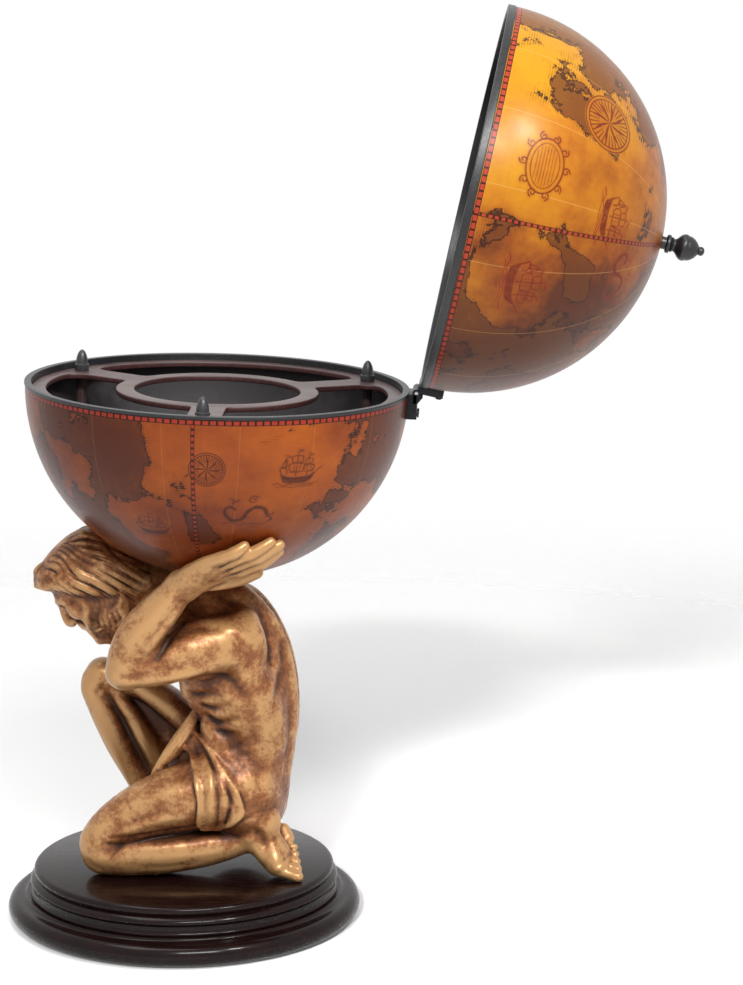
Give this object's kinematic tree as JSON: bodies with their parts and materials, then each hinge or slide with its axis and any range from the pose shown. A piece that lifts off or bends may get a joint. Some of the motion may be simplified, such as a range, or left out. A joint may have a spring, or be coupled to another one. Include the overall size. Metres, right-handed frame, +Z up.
{
  "type": "floor globe bar",
  "caption": "Globe drinks cabinet carried by a kneeling figure on a round turned plinth, with a hinged lid and a tray with a round hole and curved cut-outs for bottles and glasses.",
  "frame": {"origin": "centre of the underside of the plinth's felt", "axes": "+Z up, the figure faces -X, the hinge is on the +X side with its pin along Y, and the lid opens towards +X"},
  "size_m": [0.7706, 0.4216, 1.0186],
  "materials": {
    "felt": "black felt",
    "dark_lacquer": "dark mahogany satin lacquer",
    "bronzed_resin": "cast resin with antique gold bronze paint and dark wash",
    "bowl_print": "varnished paper map, orange brown",
    "lid_print": "varnished paper map, golden orange",
    "black_rim": "black satin",
    "dark_board": "dark brown stained board",
    "black_metal": "black, worn bright on the knuckle",
    "zinc_steel": "zinc plated"
  },
  "bodies": {
    "stand": {"base_felt": "felt", "plinth_lower": "dark_lacquer", "plinth_upper": "dark_lacquer", "plinth_screw_1": "zinc_steel", "plinth_screw_2": "zinc_steel", "plinth_screw_3": "zinc_steel", "plinth_screw_4": "zinc_steel", "figure_bolt_1": "zinc_steel", "figure_bolt_2": "zinc_steel", "figure_bolt_3": "zinc_steel", "figure_washer_1": "zinc_steel", "figure_washer_2": "zinc_steel", "figure_washer_3": "zinc_steel", "kneeling_figure": "bronzed_resin", "lower_shell": "bowl_print", "lower_rim": "black_rim", "globe_stud": "zinc_steel", "globe_washer": "zinc_steel", "globe_nut": "zinc_steel", "tray_shelf": "dark_board", "tray_top": "dark_board", "tray_post_1": "dark_board", "tray_post_2": "dark_board", "tray_post_3": "dark_board", "tray_finial_1": "black_rim", "tray_finial_2": "black_rim", "tray_finial_3": "black_rim", "hinge_lower_leaf": "black_metal", "hinge_pin": "zinc_steel", "hinge_lower_screw_1": "black_metal", "hinge_lower_screw_2": "black_metal", "hinge_lower_nut_1": "zinc_steel", "hinge_lower_nut_2": "zinc_steel"},
    "lid": {"hinge_upper_leaf": "black_metal", "upper_shell": "lid_print", "upper_rim": "black_rim", "hinge_upper_screw_1": "black_metal", "hinge_upper_screw_2": "black_metal", "hinge_upper_nut_1": "zinc_steel", "hinge_upper_nut_2": "zinc_steel", "lid_finial": "black_rim", "finial_stud": "zinc_steel", "finial_washer": "zinc_steel", "finial_nut": "zinc_steel"}
  },
  "joints": [
    {"name": "lid_hinge", "type": "hinge", "parent": "stand", "child": "lid", "pos_m": [0.26164, 0, 0.60056], "axis": [0, 1, 0], "range_deg": [-100.9, 0]}
  ]
}
